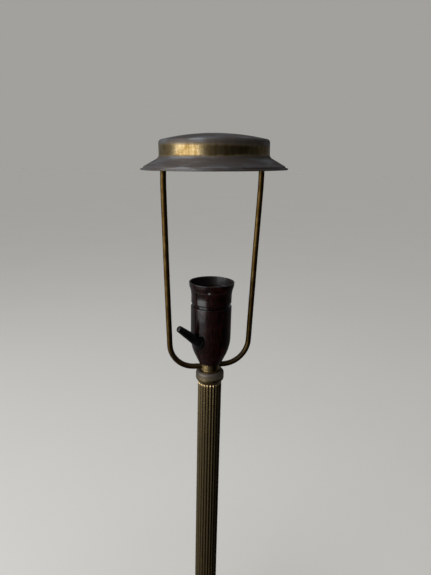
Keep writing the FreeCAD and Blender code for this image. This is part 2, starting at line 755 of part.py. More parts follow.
def contact_spring():
    """Three coils of round wire, whose helix is a chain of arcs."""
    height = CONTACT_Z - BLOCK_TOP_Z - 2 * (SPRING_WIRE_R + SNUG_GAP)
    foot = BLOCK_TOP_Z + SPRING_WIRE_R + SNUG_GAP
    arcs = SPRING_TURNS * ARCS_PER_TURN

    def at(part):
        return polar(SPRING_R, 360 * SPRING_TURNS * part / arcs, foot + height * part / arcs)

    edges = [Part.Arc(at(i), at(i + 0.5), at(i + 1)).toShape() for i in range(arcs)]
    circle = Part.Wire(Part.makeCircle(SPRING_WIRE_R, at(0), V(0, 1, 0)))
    return Part.Wire(edges).makePipeShell([circle], True, False)


def holder_terminals():
    plates = []
    for p, azimuth in zip(terminal_points(SEAT_Z), TERMINAL_AZIMUTHS):
        thickness = TERMINAL_PLATE[2]
        hole = rod(TERMINAL_SCREW_R + SNUG_GAP, V(0, 0, -2 * thickness), V(0, 0, thickness))
        plate = box_at(TERMINAL_PLATE, V(0, 0, -thickness / 2)).cut(hole)
        turn = FreeCAD.Placement(p, FreeCAD.Rotation(UP, azimuth))
        plates.append(plate.transformGeometry(turn.toMatrix()))
    return Part.makeCompound(plates)


def holder_terminal_screws():
    screws = []
    for p in terminal_points(SEAT_Z):
        plate = V(0, 0, TERMINAL_PLATE[2])
        shank = rod(TERMINAL_SCREW_R, p - plate, p + V(0, 0, TERMINAL_SCREW_LENGTH))
        head = rod(TERMINAL_HEAD_R, p - plate * 2, p - plate)
        screws.append(head.fuse(shank).removeSplitter())
    return Part.makeCompound(screws)


# Switch

def switch_lever():
    pivot, _, _, along = lever_frame()
    lever = stick(pivot, along, 0)
    rim = [e for e in lever.Edges if e.Closed and e.Length < 2 * pi * (LEVER_TIP_R + EASY_GAP)]
    lever = lever.makeFillet(LEVER_TIP_CURVE, rim)
    ball = Part.makeSphere(BALL_R, pivot)
    outside = pivot - along * (BALL_R + OVERCUT)
    socket = rod(TAIL_R + TIGHT_GAP, pivot - along * TAIL_ROOT, outside)
    return ball.fuse(lever).cut(socket).removeSplitter()


def lever_tail():
    pivot, _, _, along = lever_frame()
    return rod(TAIL_R, pivot - along * (TAIL_ROOT + EASY_GAP), pivot - along * TAIL_LENGTH)


def bridge_contact():
    pivot, _, _, along = lever_frame()
    end = pivot - along * TAIL_LENGTH
    cap = rod(BRIDGE_R, end + along * BRIDGE_HALF, end - along * BRIDGE_HALF)
    return cap.cut(rod(TAIL_R + TIGHT_GAP, pivot, end - along * TIGHT_GAP))


def ball_retainer():
    """A brass cup behind the ball, on a tongue that hangs from the porcelain core."""
    pivot, normal, axis, along = lever_frame()
    sideways = axis.cross(normal)
    cup = rod(CUP_R, pivot - normal * CUP_NEAR, pivot - normal * CUP_FAR)
    cup = cup.cut(Part.makeSphere(BALL_R + BALL_GAP, pivot))
    opening = oriented_box(CUP_WINDOW_SIZE, pivot, sideways, normal)
    sides = [
        oriented_box(CUP_SIDE_SIZE, pivot + sideways * side * CUP_SIDE_X, sideways, normal)
        for side in (-1, 1)
    ]
    cup = cup.cut([opening] + sides)
    foot = pivot - normal * (CUP_FAR - TONGUE_INSET[0]) + axis * (CUP_R - TONGUE_INSET[1])
    height = SEAT_Z - foot.z
    tongue = box_at((*TONGUE_SIZE, height), V(0, 0, height / 2))
    turn = FreeCAD.Placement(foot, FreeCAD.Rotation(UP, LEVER_AZIMUTH))
    tongue = tongue.transformGeometry(turn.toMatrix())
    room = turned([(0, BODY_FLOOR_Z)] + cavity_line(BALL_GAP) + [(0, SEAT_Z)])
    return cup.fuse(tongue).common(room).removeSplitter()


def oriented_box(size, middle, x_axis, z_axis):
    block = box_at(size, ORIGIN)
    y_axis = z_axis.cross(x_axis)
    matrix = FreeCAD.Matrix(
        x_axis.x, y_axis.x, z_axis.x, middle.x,
        x_axis.y, y_axis.y, z_axis.y, middle.y,
        x_axis.z, y_axis.z, z_axis.z, middle.z,
        0, 0, 0, 1,
    )
    block.Placement = FreeCAD.Placement(matrix)
    return block


def switch_contacts():
    """Two brass strips side by side, which the bridge joins at the end of the lever's swing."""
    pivot, normal, axis, along = lever_frame()
    sideways = axis.cross(normal)
    end = FreeCAD.Rotation(axis, 2 * LEVER_SWING).multVec(along)
    touch = pivot - end * (TAIL_LENGTH + EASY_GAP)
    outer = touch - sideways * (BRIDGE_R + STRIP_GAP) - UP * STRIP_OVERLAP
    strips = []
    for side in (-1, 1):
        foot = outer + polar(side * STRIP_PITCH / 2, LEVER_AZIMUTH)
        height = SEAT_Z - foot.z
        strip = box_at((*STRIP_SIZE, height), V(0, 0, height / 2))
        turn = FreeCAD.Placement(foot, FreeCAD.Rotation(UP, LEVER_AZIMUTH))
        strips.append(strip.transformGeometry(turn.toMatrix()))
    return Part.makeCompound(strips)


# Leads from the terminal block, up the threaded tube, to the holder's terminals

def inner_lead(side, azimuth):
    corners = [
        (V(side * POLE_X, BLOCK_Y, POLE_Z), 0), (V(side * POLE_X, 17.0, POLE_Z), 4.0),
        (V(side * POLE_X, 11.0, LEAD_LOW_Z), 5.0), (V(side * LEAD_X, 0, LEAD_LOW_Z), 3.5),
        (V(side * LEAD_X, 0, LEAD_SPLIT_Z), 5.0), (polar(TERMINAL_PITCH_R, azimuth, LEAD_TURN_Z), 3.0),
        (polar(TERMINAL_PITCH_R, azimuth, LEAD_END_Z), 0),
    ]
    path = Part.Wire(rounded_edges(corners, False))
    start = Part.Wire(Part.makeCircle(LEAD_R, corners[0][0], V(0, -1, 0)))
    return path.makePipeShell([start], True, False)


def build():
    left = harp_arm(-1)
    right = harp_arm(1)
    return {
        "base_felt": base_felt(),
        "base_plate": base_plate(),
        "plate_screws": plate_screws(),
        "base_weight": base_weight(),
        "base_shell": base_shell(),
        "cord_inlet_bush": cord_inlet_bush(),
        "base_washer": base_washer(),
        "base_nut": base_nut(),
        "tie_rod": tie_rod(),
        "terminal_block": terminal_block(),
        "terminal_barrels": terminal_barrels(),
        "terminal_grub_screws": terminal_grub_screws(),
        "column_foot_ring": column_foot_ring(),
        "column_tube": column_tube(),
        "collar": collar(),
        "harp_bush": harp_bush(),
        "harp_arm_left": left,
        "harp_arm_right": right,
        "gallery_cap": gallery_cap(),
        "cap_solder_joints": cap_solder_joints((left, right)),
        "holder_thread_bush": holder_thread_bush(),
        "holder_body": holder_body(),
        "holder_mantle": holder_mantle(),
        "mantle_lock_screw": mantle_lock_screw(),
        "contact_block": contact_block(),
        "e27_shell": e27_shell(),
        "shell_clamp_ring": shell_clamp_ring(),
        "shell_rivets": shell_rivets(),
        "centre_contact": centre_contact(),
        "contact_spring": contact_spring(),
        "holder_terminals": holder_terminals(),
        "holder_terminal_screws": holder_terminal_screws(),
        "switch_lever": switch_lever(),
        "lever_tail": lever_tail(),
        "bridge_contact": bridge_contact(),
        "ball_retainer": ball_retainer(),
        "switch_contacts": switch_contacts(),
        "inner_lead_live": inner_lead(1, TERMINAL_AZIMUTHS[1]),
        "inner_lead_neutral": inner_lead(-1, TERMINAL_AZIMUTHS[0]),
    }


def main():
    os.makedirs("parts", exist_ok=True)
    for name, shape in build().items():
        if not shape.isValid() or not shape.Solids:
            raise ValueError(name + " is not a valid solid")
        shape.exportStep("parts/" + name + ".step")
        print(name, len(shape.Solids), round(shape.Volume, 1))


main()
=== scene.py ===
"""Looks of the brass table lamp: finer spun, fluted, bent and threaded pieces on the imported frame, and
a finish for every surface. The scene is in metres; outlines are drawn in millimetres.
"""

import json
import math

import bmesh
import bpy
from mathutils import Matrix, Vector, noise


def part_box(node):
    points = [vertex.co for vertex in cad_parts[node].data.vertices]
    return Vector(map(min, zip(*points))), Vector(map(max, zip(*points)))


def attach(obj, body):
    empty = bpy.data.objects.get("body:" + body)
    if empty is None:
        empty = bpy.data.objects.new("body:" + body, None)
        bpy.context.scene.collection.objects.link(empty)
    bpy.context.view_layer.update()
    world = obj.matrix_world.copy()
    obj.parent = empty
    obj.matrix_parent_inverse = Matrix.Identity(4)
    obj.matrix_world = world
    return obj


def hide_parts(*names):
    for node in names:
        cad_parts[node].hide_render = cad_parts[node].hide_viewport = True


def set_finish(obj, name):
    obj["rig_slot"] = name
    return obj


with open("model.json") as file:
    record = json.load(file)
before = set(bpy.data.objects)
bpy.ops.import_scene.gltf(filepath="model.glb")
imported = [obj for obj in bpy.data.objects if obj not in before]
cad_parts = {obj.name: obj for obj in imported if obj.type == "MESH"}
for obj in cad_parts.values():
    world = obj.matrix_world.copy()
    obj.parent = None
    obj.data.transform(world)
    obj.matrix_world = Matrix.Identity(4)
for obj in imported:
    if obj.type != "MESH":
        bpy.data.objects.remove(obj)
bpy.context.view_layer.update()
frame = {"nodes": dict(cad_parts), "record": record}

MM = 0.001
AXIS_R = 1e-6

# The camera, turned about the lamp's axis from the harp's plane
VIEW_AZIMUTH = math.radians(14.4)
VIEW_DISTANCE = 0.4536
VIEW_RISE = 0.1151
VIEW_YAW = math.radians(0.48)
VIEW_PITCH = math.radians(14.97)
VIEW_ROLL = math.radians(1.36)
VIEW_LENS = 29.43

# Fineness of the pieces: points around, turn of an arc's step, and the longest straight run
SEGMENTS = 256
SHELL_SEGMENTS = 144
WIRE_SEGMENTS = 32
THREAD_STEPS_PER_TURN = 120
ARC_STEP = math.radians(9)
LONGEST_RUN = 2.5
COLUMN_RUN = 3.0
COLLAR_RUN = 0.8
WIRE_RUN = 1.5
SHELL_RUN = 0.3
SHOULDER_STEPS = 10
DOME_STEPS = 22

# Column: wear is a share of the flutes' depth, and marks are long shallow dents from drawing
COLUMN_BORE_R = 9.5
COLUMN_SKIN = 0.01
FLUTE_COUNT = 24
FLUTE_SAMPLES = 18
FLUTE_HALF_ANGLE = math.radians(5.5)
FLUTE_DEPTH = 0.8
FLUTE_WEAR = 0.06
FLUTE_WEAR_SIZE = 14
ARRIS_SOFTNESS = 0.1
COLUMN_MARK = 0.02
COLUMN_MARK_SIZE = 3.5
COLUMN_MARK_STRETCH = 12

# Cap: its height over the lip's foot, its sheet, and the height of the shade's seat on its wall
CAP_RISE = 32.6
CAP_SHEET = 0.8
CAP_SEAT_RISE = 18.7
CAP_LIP_WIDTH = 3.2
CAP_LIP_HEIGHT = 1.6
CAP_LIP_EDGE_R = 0.75
CAP_LIP_INNER_EDGE_R = 0.35
CAP_BRIM_IN = 2.3
CAP_BRIM_FOOT = 2.9
CAP_BRIM_TOP = 11.1
CAP_BRIM_FOOT_R = 2.0
CAP_BRIM_TOP_R = 4.6
CAP_BRIM_SLANT = 1.1
CAP_WALL_IN = 17.1
CAP_SHOULDER_R = 3.0
CAP_DOME_R = 215.0
CAP_INNER_FOOT = 2.6
CAP_LIP_INNER_TOP = 2.0

# Unevenness of hand work: the height of a dent or wave, and its size
CAP_WAVE = 0.32
CAP_WAVE_SIZE = 24
CAP_DENT = 0.10
CAP_DENT_SIZE = 9
CAP_PULL = 0.16
CAP_PULL_SIZE = 17
CAP_WAVE_FROM_R = 40
CAP_WAVE_FULL_R = 60
LIP_SHARE = 0.4
LIP_MARGIN = 0.1
LEAST_LIP_Z = 0.02
COLLAR_WEAR = 0.10
COLLAR_WEAR_SIZE = 6
COLLAR_WEAR_FROM_R = 12.5
COLLAR_WEAR_FULL_R = 14
WIRE_WEAR = 0.016
WIRE_WEAR_SIZE = 11
WIRE_STRAY = 0.12
WIRE_STRAY_SIZE = 31

# Collar: radius, height over the column's top and corner radius of each point up to its rounded bead
COLLAR_BORE_R = 5.05
COLLAR_OUTLINE = [
    (COLLAR_BORE_R, -6.0), (9.35, -6.0, 0.6), (9.35, 0), (12.6, 0),
    (12.85, 0.9, 0.7), (14.6, 3.2, 1.4), (14.6, 12.2, 3.0), (11.4, 12.2, 1.0),
]
COLLAR_TOP_R = 10.2
COLLAR_TOP_EDGE_R = 0.5

# Harp: the corner inward of the arm's top and above its root, and the bend under the cap
HARP_CORNER_IN = 6.85
HARP_CORNER_RISE = 1.3
HARP_CORNER_R = 26.5
HARP_BEND_DROP = 33.3
HARP_BEND_R = 200.0
HARP_LEAN = 0.35
WIRE_HALF_GIRTH = 0.0088
WIRE_GRAIN_STRETCH = 100

# Inside of the holder's mouth: its radius, the width of its edge, and its depth
MOUTH_R = 21.6
MOUTH_EDGE = 0.6
MOUTH_DEPTH = 9

# Bands of patina, each from the height where it begins to the one where it is whole: under the cap's top,
# over its foot, and over the column's top on the collar
CAP_TOP_PATINA = (-13.5, -9.5)
CAP_FOOT_PATINA = (10.5, 4.5)
COLLAR_PATINA = (4, 8.5)

# Screw shell
SHELL_R = 13.62
SHELL_HALF_SHEET = 0.15
SHELL_FLANGE_R = 11.7
SHELL_SKIRT_RISE = 6.0
E27_PITCH = 3.62
E27_WAVE = 0.42

# Thread of the holder's neck, under the mantle
NECK_THREAD_PITCH = 2.0
NECK_THREAD_DROP = 3.5
NECK_R = 17.8
NECK_CREST_R = 18.4
NECK_RIDGE_HALF = 0.62


# Meshes

def rounded(corners, closed=True):
    """Points of an outline through corners (x, y) or (x, y, corner radius), with tangent arcs."""
    points = []
    count = len(corners)
    for i, corner in enumerate(corners):
        at = Vector(corner[:2])
        radius = corner[2] if len(corner) > 2 else 0
        if not radius or not (closed or 0 < i < count - 1):
            points.append(at)
            continue
        a = (Vector(corners[i - 1][:2]) - at).normalized()
        b = (Vector(corners[(i + 1) % count][:2]) - at).normalized()
        half = a.angle(b) / 2
        centre = at + (a + b).normalized() * (radius / math.sin(half))
        start = at + a * (radius / math.tan(half)) - centre
        end = at + b * (radius / math.tan(half)) - centre
        turn = math.atan2(start.x * end.y - start.y * end.x, start.dot(end))
        steps = max(2, math.ceil(abs(turn) / ARC_STEP))
        for k in range(steps + 1):
            points.append(centre + Matrix.Rotation(turn * k / steps, 2) @ start)
    return points


def divided(points, longest=LONGEST_RUN, closed=True):
    """The same outline with its long straight runs cut into shorter ones."""
    fine = []
    ends = points[1:] + points[:1] if closed else points[1:]
    for start, end in zip(points, ends):
        steps = max(1, math.ceil((end - start).length / longest))
        fine += [start.lerp(end, k / steps) for k in range(steps)]
    return fine if closed else fine + [points[-1]]


def make_piece(name, vertices, faces, body, slot, replaced=()):
    """A smooth-shaded mesh from points in millimetres, put on its body and its material slot."""
    mesh = bpy.data.meshes.new(name)
    mesh.from_pydata([Vector(v) * MM for v in vertices], [], faces)
    shape = bmesh.new()
    shape.from_mesh(mesh)
    bmesh.ops.recalc_face_normals(shape, faces=shape.faces)
    shape.to_mesh(mesh)
    shape.free()
    mesh.shade_smooth()
    piece = bpy.data.objects.new(name, mesh)
    bpy.context.scene.collection.objects.link(piece)
    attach(piece, body)
    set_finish(piece, slot)
    if replaced:
        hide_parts(*replaced)
    return piece


def ring_faces(rings, closed):
    """Quads, and triangles at a pole, between neighbouring rings of vertex numbers."""
    faces = []
    following = rings[1:] + rings[:1] if closed else rings[1:]
    for lower, upper in zip(rings, following):
        for i in range(len(lower)):
            j = (i + 1) % len(lower)
            corners = list(dict.fromkeys([lower[i], lower[j], upper[j], upper[i]]))
            if len(corners) > 2:
                faces.append(corners)
    return faces


def turned(name, points, slot, replaced=(), segments=SEGMENTS, shape=None, place=None):
    """A solid of revolution from a closed outline.

    shape(angle, r, z) may move each point of the outline, and place(x, y, z) puts it in the frame.
    """
    vertices = []
    rings = []
    for r, z in points:
        if r < AXIS_R:
            rings.append([len(vertices)] * segments)
            vertices.append((0, 0, z))
            continue
        rings.append(list(range(len(vertices), len(vertices) + segments)))
        for i in range(segments):
            angle = 2 * math.pi * i / segments
            at_r, at_z = shape(angle, r, z) if shape else (r, z)
            vertices.append((at_r * math.cos(angle), at_r * math.sin(angle), at_z))
    if place:
        vertices = [place(*v) for v in vertices]
    return make_piece(name, vertices, ring_faces(rings, True), "lamp", slot, replaced)


def ripple(x, y, z, size, seed):
    """Smooth noise from -1 to 1 with bumps of about that size in millimetres."""
    return noise.noise(Vector((x, y, z)) / size + Vector((seed, 2 * seed, 3 * seed)))


def smooth_step(value, low, high):
    t = min(max((value - low) / (high - low), 0), 1)
    return t * t * (3 - 2 * t)


def frame_span(node):
    """The outer radius, the foot and the top of a frame node, in millimetres."""
    low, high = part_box(node)
    return high.x / MM, low.z / MM, high.z / MM


def fluted_column():
    radius, foot, top = frame_span("column_tube")
    pitch = 2 * math.pi / FLUTE_COUNT

    def flute(angle, r, z):
        if r < radius - COLUMN_SKIN:
            return r, z
        across = (angle + pitch / 2) % pitch - pitch / 2
        hollow = 1 - (across / FLUTE_HALF_ANGLE) ** 2
        soft = (hollow + math.sqrt(hollow * hollow + ARRIS_SOFTNESS ** 2)) / 2
        x, y = r * math.cos(angle), r * math.sin(angle)
        wear = 1 + FLUTE_WEAR * ripple(x, y, z, FLUTE_WEAR_SIZE, 1)
        mark = COLUMN_MARK * abs(ripple(x, y, z / COLUMN_MARK_STRETCH, COLUMN_MARK_SIZE, 2))
        return r - FLUTE_DEPTH * soft * wear - mark, z

    outline = [Vector((COLUMN_BORE_R, foot)), Vector((radius, foot))]
    outline += [Vector((radius, top)), Vector((COLUMN_BORE_R, top))]
    points = divided(outline, COLUMN_RUN)
    segments = FLUTE_COUNT * FLUTE_SAMPLES
    return turned("fluted_column", points, "column_brass", ["column_tube"], segments, flute)


def cap_place():
    """The turn of the leaning cap about the middle of its lip's foot, and the height of that point."""
    seat = next(m for m in frame["record"]["mounts"] if m["name"] == "shade_seat")
    axis = Vector(seat["axis"])
    foot = Vector(seat["pos_m"]) / MM - axis * CAP_SEAT_RISE
    return Vector((0, 0, 1)).rotation_difference(axis).to_matrix(), foot


def cap_line(radius, inset):
    """The cap's section from its lip to the top of the dome, inset from the outer face."""
    wall = radius - CAP_WALL_IN - inset
    shoulder = CAP_SHOULDER_R - inset
    dome_r = CAP_DOME_R - inset
    dome_z = CAP_RISE - inset - dome_r
    centre_x = wall - shoulder
    centre_z = dome_z + math.sqrt((dome_r - shoulder) ** 2 - centre_x ** 2)
    foot_r = radius - CAP_BRIM_IN
    lower = CAP_BRIM_SLANT * inset
    line = rounded([
        (foot_r, CAP_LIP_HEIGHT), (foot_r, CAP_BRIM_FOOT - lower, CAP_BRIM_FOOT_R),
        (wall, CAP_BRIM_TOP - lower, CAP_BRIM_TOP_R + inset), (wall, centre_z),
    ], closed=False)
    tilt = math.asin(centre_x / (dome_r - shoulder))
    for k in range(1, SHOULDER_STEPS + 1):
        angle = (math.pi / 2 - tilt) * k / SHOULDER_STEPS
        line.append(Vector((centre_x + shoulder * math.cos(angle), centre_z + shoulder * math.sin(angle))))
    for k in range(1, DOME_STEPS + 1):
        angle = tilt * (1 - k / DOME_STEPS)
        line.append(Vector((dome_r * math.sin(angle), dome_z + dome_r * math.cos(angle))))
    return line


def gallery_cap():
    low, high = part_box("gallery_cap")
    radius = (high.y - low.y) / 2 / MM
    turn, foot = cap_place()
    inner_r = radius - CAP_LIP_WIDTH
    lip = rounded([
        (inner_r, CAP_LIP_INNER_TOP), (inner_r, 0, CAP_LIP_INNER_EDGE_R), (radius, 0, CAP_LIP_EDGE_R),
        (radius, CAP_LIP_HEIGHT, CAP_LIP_EDGE_R), (radius - CAP_BRIM_IN, CAP_LIP_HEIGHT),
    ], closed=False)
    outer = cap_line(radius, 0)
    inner = [p for p in reversed(cap_line(radius, CAP_SHEET)) if p.y > CAP_INNER_FOOT]
    points = divided(lip[:-1] + outer + inner)

    def hand_spun(angle, r, z):
        x, y = r * math.cos(angle), r * math.sin(angle)
        loose = smooth_step(r, CAP_WAVE_FROM_R, CAP_WAVE_FULL_R)
        wave = CAP_WAVE * loose * ripple(x, y, z, CAP_WAVE_SIZE, 3)
        lift = wave + CAP_DENT * ripple(x, y, z, CAP_DENT_SIZE, 4)
        inward = CAP_PULL * abs(ripple(x, y, z, CAP_PULL_SIZE, 5))
        if r > inner_r - LIP_MARGIN:
            lift *= LIP_SHARE
        return r - inward, min(max(z + lift, LEAST_LIP_Z), CAP_RISE)

    def lean(x, y, z):
        return foot + turn @ Vector((x, y, z))

    return turned("spun_gallery_cap", points, "cap_brass", ["gallery_cap"], SEGMENTS, hand_spun, lean)


def collar():
    foot = frame_span("column_tube")[2]
    top = frame_span("harp_bush")[1]
    corners = [(r, foot + height, *corner_r) for r, height, *corner_r in COLLAR_OUTLINE]
    corners += [(COLLAR_TOP_R, top, COLLAR_TOP_EDGE_R), (COLLAR_BORE_R, top)]

    def worn(angle, r, z):
        x, y = r * math.cos(angle), r * math.sin(angle)
        open_to_touch = smooth_step(r, COLLAR_WEAR_FROM_R, COLLAR_WEAR_FULL_R)
        return r - COLLAR_WEAR * abs(ripple(x, y, z, COLLAR_WEAR_SIZE, 6)) * open_to_touch, z

    points = divided(rounded(corners), COLLAR_RUN)
    return turned("beaded_collar", points, "collar_brass", ["collar"], SEGMENTS, worn)


def harp_arm(side, node):
    """A drawn brass wire bent by hand: its run from the bush, round the corner and up into the cap."""
    low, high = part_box(node)
    low, high = low / MM, high / MM
    wire = (high.y - low.y) / 2
    outer = max(abs(low.x), abs(high.x))
    inner = min(abs(low.x), abs(high.x))
    top_x = outer - wire
    root_z = low.z + wire
    corner = (top_x - HARP_CORNER_IN, root_z + HARP_CORNER_RISE, HARP_CORNER_R)
    bend = (top_x, high.z - HARP_BEND_DROP, HARP_BEND_R)
    bent = rounded([(inner, root_z), corner, bend, (top_x, high.z)], closed=False)
    line = divided(bent, WIRE_RUN, closed=False)
    vertices = []
    rings = []
    run = 0
    whole = sum((b - a).length for a, b in zip(line, line[1:]))
    lengths = []
    for i, at in enumerate(line):
        before = line[max(i - 1, 0)]
        after = line[min(i + 1, len(line) - 1)]
        along = (after - before).normalized()
        run += (at - before).length
        lengths.append(run)
        thinning = WIRE_WEAR * abs(noise.noise(Vector((side * 7, 0, run / WIRE_WEAR_SIZE))))
        swell = wire * (1 - thinning)
        stray = WIRE_STRAY * noise.noise(Vector((side * 3, 0, run / WIRE_STRAY_SIZE)))
        lean = HARP_LEAN * math.sin(math.pi * run / whole)
        first = len(vertices)
        rings.append(list(range(first, first + WIRE_SEGMENTS)))
        for k in range(WIRE_SEGMENTS):
            angle = 2 * math.pi * k / WIRE_SEGMENTS
            sideways = Vector((along.y, -along.x)) * math.cos(angle) * swell
            x, z = at + sideways
            vertices.append((side * x - lean, math.sin(angle) * swell + stray, z))
    faces = ring_faces(rings, False) + [rings[0], rings[-1]]
    name = "harp_wire_left" if side < 0 else "harp_wire_right"
    piece = make_piece(name, vertices, faces, "lamp", "harp_brass", [node])
    add_grain_map(piece, lengths)
    return piece


def add_grain_map(piece, lengths):
    """A UV map of a wire, for drawing marks: from 0 to 1 and back around it, and metres along it."""
    layer = piece.data.uv_layers.new(name="grain")
    for polygon in piece.data.polygons:
        for loop in polygon.loop_indices:
            vertex = piece.data.loops[loop].vertex_index
            turn = (vertex % WIRE_SEGMENTS) / WIRE_SEGMENTS
            layer.data[loop].uv = (abs(2 * turn - 1), lengths[vertex // WIRE_SEGMENTS] * MM)


def screw_shell():
    """The lampholder's brass shell, rolled with the bulb's round thread."""
    low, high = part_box("e27_shell")
    foot, top = low.z / MM, high.z / MM
    step = foot + SHELL_SKIRT_RISE
    bore_r = SHELL_R - SHELL_HALF_SHEET
    outer_r = SHELL_R + SHELL_HALF_SHEET
    skirt_bore_r = SHELL_R - 1.1
    skirt_r = SHELL_R - 0.8
    inner = rounded([
        (SHELL_FLANGE_R, foot + 0.35), (skirt_bore_r, foot + 0.35, 0.4), (skirt_bore_r, step - 1.0, 0.6),
        (bore_r, step, 0.6), (bore_r, top),
    ], closed=False)
    outer = rounded([
        (outer_r, top), (outer_r, step, 0.6), (skirt_r, step - 1.0, 0.6),
        (skirt_r, foot, 0.4), (SHELL_FLANGE_R, foot),
    ], closed=False)
    points = divided(inner + outer, SHELL_RUN)

    def rolled(angle, r, z):
        strength = smooth_step(z, step + 0.5, step + 2.5) * (1 - smooth_step(z, top - 1.6, top - 0.4))
        return r + strength * E27_WAVE * math.cos(2 * math.pi * z / E27_PITCH - angle) - 0.1, z

    return turned("threaded_shell", points, "contact_brass", ["e27_shell"], SHELL_SEGMENTS, rolled)


def neck_thread():
    """The moulded thread on the holder's neck, seen in the groove under the mantle."""
    body_top = frame_span("holder_mantle")[1] - NECK_THREAD_DROP
    neck_top = frame_span("holder_body")[2]
    start = body_top + 0.5
    turns = (neck_top - 1.0 - start) / NECK_THREAD_PITCH
    steps = int(turns * THREAD_STEPS_PER_TURN)
    half = NECK_RIDGE_HALF
    vertices = []
    rings = []
    for i in range(steps + 1):
        part = i / steps
        angle = 2 * math.pi * turns * part
        height = start + half + NECK_THREAD_PITCH * turns * part
        end = smooth_step(min(part, 1 - part) * turns, 0, 0.12)
        crest = NECK_R + (NECK_CREST_R - NECK_R) * end
        shoulder = NECK_R + 0.8 * (crest - NECK_R)
        section = [
            (NECK_R - 0.3, height - half), (NECK_R - 0.05, height - half),
            (shoulder, height - 0.3), (crest, height - 0.15), (crest, height + 0.15),
            (shoulder, height + 0.3), (NECK_R - 0.05, height + half), (NECK_R - 0.3, height + half),
        ]
        first = len(vertices)
        rings.append(list(range(first, first + len(section))))
        vertices += [(r * math.cos(angle), r * math.sin(angle), z) for r, z in section]
    faces = ring_faces(rings, False) + [rings[0], rings[-1]]
    return make_piece("neck_thread", vertices, faces, "lamp", "bakelite")


# Materials

class Finish:
    """A node material around one Principled shader, in the object's own coordinates in metres."""

    def __init__(self, name):
        self.material = bpy.data.materials.new(name)
        self.material.use_nodes = True
        self.tree = self.material.node_tree
        self.tree.nodes.clear()
        output = self.tree.nodes.new("ShaderNodeOutputMaterial")
        self.shader = self.tree.nodes.new("ShaderNodeBsdfPrincipled")
        self.tree.links.new(self.shader.outputs[0], output.inputs["Surface"])
        self.coordinates = self.tree.nodes.new("ShaderNodeTexCoord")
        self.place = self.coordinates.outputs["Object"]

    def put(self, socket, value):
        if isinstance(value, bpy.types.NodeSocket):
            self.tree.links.new(value, socket)
        else:
            socket.default_value = value

    def calc(self, operation, *values):
        node = self.tree.nodes.new("ShaderNodeMath")
        node.operation = operation
        for socket, value in zip(node.inputs, values):
            self.put(socket, value)
        return node.outputs[0]

    def vector(self, operation, *values):
        node = self.tree.nodes.new("ShaderNodeVectorMath")
        node.operation = operation
        for socket, value in zip(node.inputs, values):
            self.put(socket, value)
        return node.outputs["Value" if operation == "LENGTH" else "Vector"]

    def part(self, vector, axis):
        node = self.tree.nodes.new("ShaderNodeSeparateXYZ")
        self.put(node.inputs[0], vector)
        return node.outputs[axis]

    def joined(self, x, y, z):
        node = self.tree.nodes.new("ShaderNodeCombineXYZ")
        for socket, value in zip(node.inputs, (x, y, z)):
            self.put(socket, value)
        return node.outputs[0]

    def noise(self, size, stretch=(1, 1, 1), at=None, detail=3.0, roughness=0.55, warp=0.0):
        """Noise from 0 to 1 with features of about size millimetres, stretched along each axis."""
        scale = tuple(1 / (size * MM * s) for s in stretch)
        node = self.tree.nodes.new("ShaderNodeTexNoise")
        self.put(node.inputs["Vector"], self.vector("MULTIPLY", at or self.place, scale))
        self.put(node.inputs["Scale"], 1.0)
        self.put(node.inputs["Detail"], detail)
        self.put(node.inputs["Roughness"], roughness)
        self.put(node.inputs["Distortion"], warp)
        return node.outputs["Fac"]

    def spread(self, value, low, high, first=0.0, last=1.0):
        """A value's range stretched smoothly onto another one, and cut off at its ends."""
        node = self.tree.nodes.new("ShaderNodeMapRange")
        node.interpolation_type = "SMOOTHSTEP"
        for socket, given in zip(node.inputs, (value, low, high, first, last)):
            self.put(socket, given)
        return node.outputs[0]

    def ramp(self, factor, stops):
        node = self.tree.nodes.new("ShaderNodeValToRGB")
        elements = node.color_ramp.elements
        while len(elements) < len(stops):
            elements.new(0.5)
        for element, (position, colour) in zip(elements, stops):
            element.position = position
            element.color = (*colour, 1)
        self.put(node.inputs[0], factor)
        return node.outputs[0]

    def mix(self, factor, first, second):
        node = self.tree.nodes.new("ShaderNodeMix")
        node.data_type = "RGBA"
        sockets = [s for s in node.inputs if s.type == "RGBA"]
        self.put(node.inputs[0], factor)
        self.put(sockets[0], (*first, 1) if isinstance(first, tuple) else first)
        self.put(sockets[1], (*second, 1) if isinstance(second, tuple) else second)
        return [s for s in node.outputs if s.type == "RGBA"][0]

    def blend(self, factor, first, second):
        node = self.tree.nodes.new("ShaderNodeMix")
        self.put(node.inputs[0], factor)
        self.put(node.inputs[2], first)
        self.put(node.inputs[3], second)
        return node.outputs[0]

    def bump(self, height, depth, under=None):
        node = self.tree.nodes.new("ShaderNodeBump")
        self.put(node.inputs["Strength"], 1.0)
        self.put(node.inputs["Distance"], depth * MM)
        self.put(node.inputs["Height"], height)
        if under:
            self.put(node.inputs["Normal"], under)
        return node.outputs[0]

    def set(self, **inputs):
        for name, value in inputs.items():
            self.put(self.shader.inputs[name.replace("_", " ")], value)
        return self.material


# Colours of aged brass, from its tarnish to its rubbed places; its grey is partly tarnish and partly a
# painted bluish sheen
PATINA = (0.092, 0.075, 0.067)
# Grey of the patina: partly real tarnish, partly a painted bluish-grey sheen that stands in for reflected
# light
PATINA_GREY_AND_SHEEN = (0.165, 0.170, 0.180)
BROWNED = (0.085, 0.046, 0.011)
AGED = (0.230, 0.146, 0.048)
RUBBED = (0.44, 0.33, 0.175)
GOLDEN = (0.64, 0.445, 0.20)


# Dark and light of the marbled bakelite
MAROON = (0.0045, 0.0008, 0.0006), (0.026, 0.0045, 0.003)
BLACK = (0.002, 0.002, 0.002), (0.005, 0.0045, 0.0045)


def spun_grain(finish, size=0.25):
    """Fine rings about the lamp's axis, as a lathe leaves them."""
    radius = finish.vector("LENGTH", finish.vector("MULTIPLY", finish.place, (1, 1, 0)))
    height = finish.part(finish.place, "Z")
    rings = finish.joined(radius, 0.0, height)
    return finish.noise(size, at=rings, detail=2.0, roughness=0.6)


